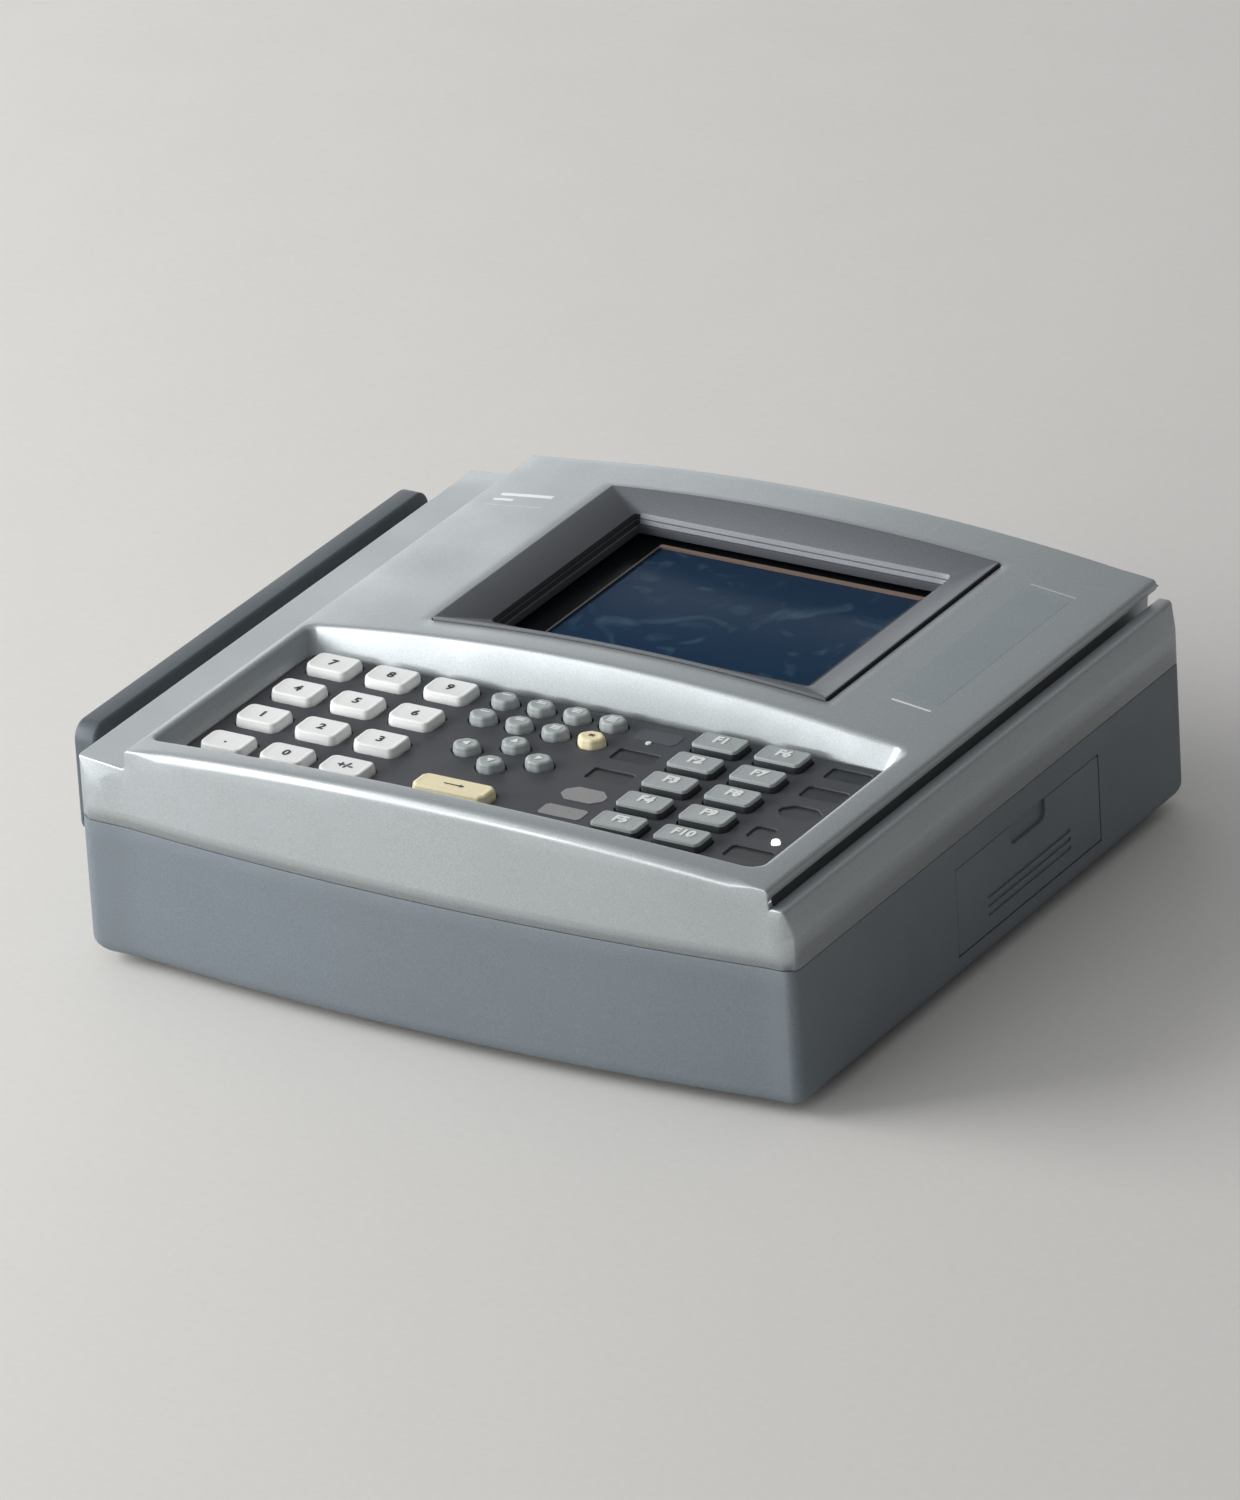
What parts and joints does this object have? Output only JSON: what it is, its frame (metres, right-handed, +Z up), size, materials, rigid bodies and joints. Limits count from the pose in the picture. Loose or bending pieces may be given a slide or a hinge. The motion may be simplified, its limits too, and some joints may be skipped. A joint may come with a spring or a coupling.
{
  "type": "portable network analyzer",
  "caption": "Portable network analyzer with a crowned cover, sunk display, travelling keys, side carry handle, battery door and rear coaxial ports.",
  "frame": {"origin": "middle of the outline on the table, at the underside of the feet", "axes": "+X to the right of a user who faces the keys, +Y away from the user, +Z up"},
  "size_m": [0.2716, 0.2606, 0.0853],
  "materials": {
    "housing": "fine-textured moulded plastic, pale blue-grey with a metallic fleck",
    "tray": "fine-textured moulded plastic, darker blue-grey",
    "bezel": "satin dark grey plastic",
    "panel": "matt charcoal plastic",
    "window": "glossy clear window over a dark blue display",
    "lcd_frame": "pressed metal frame",
    "white_key": "satin off-white plastic",
    "grey_key": "satin grey plastic",
    "yellow_key": "satin amber plastic",
    "handle": "satin dark blue-grey plastic",
    "rubber": "matt black rubber",
    "circuit": "green solder mask",
    "shield": "tinned shield can",
    "black_plastic": "matt black plastic",
    "nickel": "nickel plate",
    "lens": "clear moulded lens"
  },
  "bodies": {
    "housing": {"front_cover": "housing", "rear_cover": "tray", "display_bezel": "bezel", "display_window": "window", "lcd_module": "lcd_frame", "keypad_panel": "panel", "status_led": "lens", "dome_sheet": "rubber", "keypad_board": "circuit", "main_board": "circuit", "rf_module": "shield", "speaker": "black_plastic", "battery_pack": "black_plastic", "handle_bracket_front": "handle", "handle_bracket_back": "handle", "rf_connector_1": "nickel", "rf_connector_2": "nickel", "power_jack": "black_plastic", "data_port": "nickel", "foot_front_left": "rubber", "foot_front_right": "rubber", "foot_back_left": "rubber", "foot_back_right": "rubber"},
    "key_7": {"key_7": "white_key"},
    "key_8": {"key_8": "white_key"},
    "key_9": {"key_9": "white_key"},
    "key_4": {"key_4": "white_key"},
    "key_5": {"key_5": "white_key"},
    "key_6": {"key_6": "white_key"},
    "key_1": {"key_1": "white_key"},
    "key_2": {"key_2": "white_key"},
    "key_3": {"key_3": "white_key"},
    "key_point": {"key_point": "white_key"},
    "key_0": {"key_0": "white_key"},
    "key_sign": {"key_sign": "white_key"},
    "key_mode_1": {"key_mode_1": "grey_key"},
    "key_mode_2": {"key_mode_2": "grey_key"},
    "key_mode_3": {"key_mode_3": "grey_key"},
    "key_mode_4": {"key_mode_4": "grey_key"},
    "key_view_1": {"key_view_1": "grey_key"},
    "key_view_2": {"key_view_2": "grey_key"},
    "key_view_3": {"key_view_3": "grey_key"},
    "key_select": {"key_select": "yellow_key"},
    "key_left": {"key_left": "grey_key"},
    "key_right": {"key_right": "grey_key"},
    "key_up": {"key_up": "grey_key"},
    "key_down": {"key_down": "grey_key"},
    "key_enter": {"key_enter": "yellow_key"},
    "key_soft_left_1": {"key_soft_left_1": "grey_key"},
    "key_soft_left_2": {"key_soft_left_2": "grey_key"},
    "key_soft_left_3": {"key_soft_left_3": "grey_key"},
    "key_soft_left_4": {"key_soft_left_4": "grey_key"},
    "key_soft_left_5": {"key_soft_left_5": "grey_key"},
    "key_soft_right_1": {"key_soft_right_1": "grey_key"},
    "key_soft_right_2": {"key_soft_right_2": "grey_key"},
    "key_soft_right_3": {"key_soft_right_3": "grey_key"},
    "key_soft_right_4": {"key_soft_right_4": "grey_key"},
    "key_soft_right_5": {"key_soft_right_5": "grey_key"},
    "carry_handle": {"carry_handle": "handle"},
    "battery_door": {"battery_door": "tray"}
  },
  "joints": [
    {"name": "handle_swing", "type": "hinge", "parent": "housing", "child": "carry_handle", "pos_m": [-0.1308, -0.00325, 0.038], "axis": [0, -1, 0], "range_deg": [0, 180]},
    {"name": "battery_door_swing", "type": "hinge", "parent": "housing", "child": "battery_door", "pos_m": [0.1343, -0.00325, 0.0128], "axis": [0, 1, 0], "range_deg": [0, 90]},
    {"name": "key_7_press", "type": "slide", "parent": "housing", "child": "key_7", "axis": [0, 0, -1], "range_m": [0, 0.0012], "stiffness_N_per_m": 800, "springref_m": -0.0005},
    {"name": "key_8_press", "type": "slide", "parent": "housing", "child": "key_8", "axis": [0, 0, -1], "range_m": [0, 0.0012], "stiffness_N_per_m": 800, "springref_m": -0.0005},
    {"name": "key_9_press", "type": "slide", "parent": "housing", "child": "key_9", "axis": [0, 0, -1], "range_m": [0, 0.0012], "stiffness_N_per_m": 800, "springref_m": -0.0005},
    {"name": "key_4_press", "type": "slide", "parent": "housing", "child": "key_4", "axis": [0, 0, -1], "range_m": [0, 0.0012], "stiffness_N_per_m": 800, "springref_m": -0.0005},
    {"name": "key_5_press", "type": "slide", "parent": "housing", "child": "key_5", "axis": [0, 0, -1], "range_m": [0, 0.0012], "stiffness_N_per_m": 800, "springref_m": -0.0005},
    {"name": "key_6_press", "type": "slide", "parent": "housing", "child": "key_6", "axis": [0, 0, -1], "range_m": [0, 0.0012], "stiffness_N_per_m": 800, "springref_m": -0.0005},
    {"name": "key_1_press", "type": "slide", "parent": "housing", "child": "key_1", "axis": [0, 0, -1], "range_m": [0, 0.0012], "stiffness_N_per_m": 800, "springref_m": -0.0005},
    {"name": "key_2_press", "type": "slide", "parent": "housing", "child": "key_2", "axis": [0, 0, -1], "range_m": [0, 0.0012], "stiffness_N_per_m": 800, "springref_m": -0.0005},
    {"name": "key_3_press", "type": "slide", "parent": "housing", "child": "key_3", "axis": [0, 0, -1], "range_m": [0, 0.0012], "stiffness_N_per_m": 800, "springref_m": -0.0005},
    {"name": "key_point_press", "type": "slide", "parent": "housing", "child": "key_point", "axis": [0, 0, -1], "range_m": [0, 0.0012], "stiffness_N_per_m": 800, "springref_m": -0.0005},
    {"name": "key_0_press", "type": "slide", "parent": "housing", "child": "key_0", "axis": [0, 0, -1], "range_m": [0, 0.0012], "stiffness_N_per_m": 800, "springref_m": -0.0005},
    {"name": "key_sign_press", "type": "slide", "parent": "housing", "child": "key_sign", "axis": [0, 0, -1], "range_m": [0, 0.0012], "stiffness_N_per_m": 800, "springref_m": -0.0005},
    {"name": "key_mode_1_press", "type": "slide", "parent": "housing", "child": "key_mode_1", "axis": [0, 0, -1], "range_m": [0, 0.0012], "stiffness_N_per_m": 800, "springref_m": -0.0005},
    {"name": "key_mode_2_press", "type": "slide", "parent": "housing", "child": "key_mode_2", "axis": [0, 0, -1], "range_m": [0, 0.0012], "stiffness_N_per_m": 800, "springref_m": -0.0005},
    {"name": "key_mode_3_press", "type": "slide", "parent": "housing", "child": "key_mode_3", "axis": [0, 0, -1], "range_m": [0, 0.0012], "stiffness_N_per_m": 800, "springref_m": -0.0005},
    {"name": "key_mode_4_press", "type": "slide", "parent": "housing", "child": "key_mode_4", "axis": [0, 0, -1], "range_m": [0, 0.0012], "stiffness_N_per_m": 800, "springref_m": -0.0005},
    {"name": "key_view_1_press", "type": "slide", "parent": "housing", "child": "key_view_1", "axis": [0, 0, -1], "range_m": [0, 0.0012], "stiffness_N_per_m": 800, "springref_m": -0.0005},
    {"name": "key_view_2_press", "type": "slide", "parent": "housing", "child": "key_view_2", "axis": [0, 0, -1], "range_m": [0, 0.0012], "stiffness_N_per_m": 800, "springref_m": -0.0005},
    {"name": "key_view_3_press", "type": "slide", "parent": "housing", "child": "key_view_3", "axis": [0, 0, -1], "range_m": [0, 0.0012], "stiffness_N_per_m": 800, "springref_m": -0.0005},
    {"name": "key_select_press", "type": "slide", "parent": "housing", "child": "key_select", "axis": [0, 0, -1], "range_m": [0, 0.0012], "stiffness_N_per_m": 800, "springref_m": -0.0005},
    {"name": "key_left_press", "type": "slide", "parent": "housing", "child": "key_left", "axis": [0, 0, -1], "range_m": [0, 0.0012], "stiffness_N_per_m": 800, "springref_m": -0.0005},
    {"name": "key_right_press", "type": "slide", "parent": "housing", "child": "key_right", "axis": [0, 0, -1], "range_m": [0, 0.0012], "stiffness_N_per_m": 800, "springref_m": -0.0005},
    {"name": "key_up_press", "type": "slide", "parent": "housing", "child": "key_up", "axis": [0, 0, -1], "range_m": [0, 0.0012], "stiffness_N_per_m": 800, "springref_m": -0.0005},
    {"name": "key_down_press", "type": "slide", "parent": "housing", "child": "key_down", "axis": [0, 0, -1], "range_m": [0, 0.0012], "stiffness_N_per_m": 800, "springref_m": -0.0005},
    {"name": "key_enter_press", "type": "slide", "parent": "housing", "child": "key_enter", "axis": [0, 0, -1], "range_m": [0, 0.0012], "stiffness_N_per_m": 800, "springref_m": -0.0005},
    {"name": "key_soft_left_1_press", "type": "slide", "parent": "housing", "child": "key_soft_left_1", "axis": [0, 0, -1], "range_m": [0, 0.0012], "stiffness_N_per_m": 800, "springref_m": -0.0005},
    {"name": "key_soft_left_2_press", "type": "slide", "parent": "housing", "child": "key_soft_left_2", "axis": [0, 0, -1], "range_m": [0, 0.0012], "stiffness_N_per_m": 800, "springref_m": -0.0005},
    {"name": "key_soft_left_3_press", "type": "slide", "parent": "housing", "child": "key_soft_left_3", "axis": [0, 0, -1], "range_m": [0, 0.0012], "stiffness_N_per_m": 800, "springref_m": -0.0005},
    {"name": "key_soft_left_4_press", "type": "slide", "parent": "housing", "child": "key_soft_left_4", "axis": [0, 0, -1], "range_m": [0, 0.0012], "stiffness_N_per_m": 800, "springref_m": -0.0005},
    {"name": "key_soft_left_5_press", "type": "slide", "parent": "housing", "child": "key_soft_left_5", "axis": [0, 0, -1], "range_m": [0, 0.0012], "stiffness_N_per_m": 800, "springref_m": -0.0005},
    {"name": "key_soft_right_1_press", "type": "slide", "parent": "housing", "child": "key_soft_right_1", "axis": [0, 0, -1], "range_m": [0, 0.0012], "stiffness_N_per_m": 800, "springref_m": -0.0005},
    {"name": "key_soft_right_2_press", "type": "slide", "parent": "housing", "child": "key_soft_right_2", "axis": [0, 0, -1], "range_m": [0, 0.0012], "stiffness_N_per_m": 800, "springref_m": -0.0005},
    {"name": "key_soft_right_3_press", "type": "slide", "parent": "housing", "child": "key_soft_right_3", "axis": [0, 0, -1], "range_m": [0, 0.0012], "stiffness_N_per_m": 800, "springref_m": -0.0005},
    {"name": "key_soft_right_4_press", "type": "slide", "parent": "housing", "child": "key_soft_right_4", "axis": [0, 0, -1], "range_m": [0, 0.0012], "stiffness_N_per_m": 800, "springref_m": -0.0005},
    {"name": "key_soft_right_5_press", "type": "slide", "parent": "housing", "child": "key_soft_right_5", "axis": [0, 0, -1], "range_m": [0, 0.0012], "stiffness_N_per_m": 800, "springref_m": -0.0005}
  ]
}
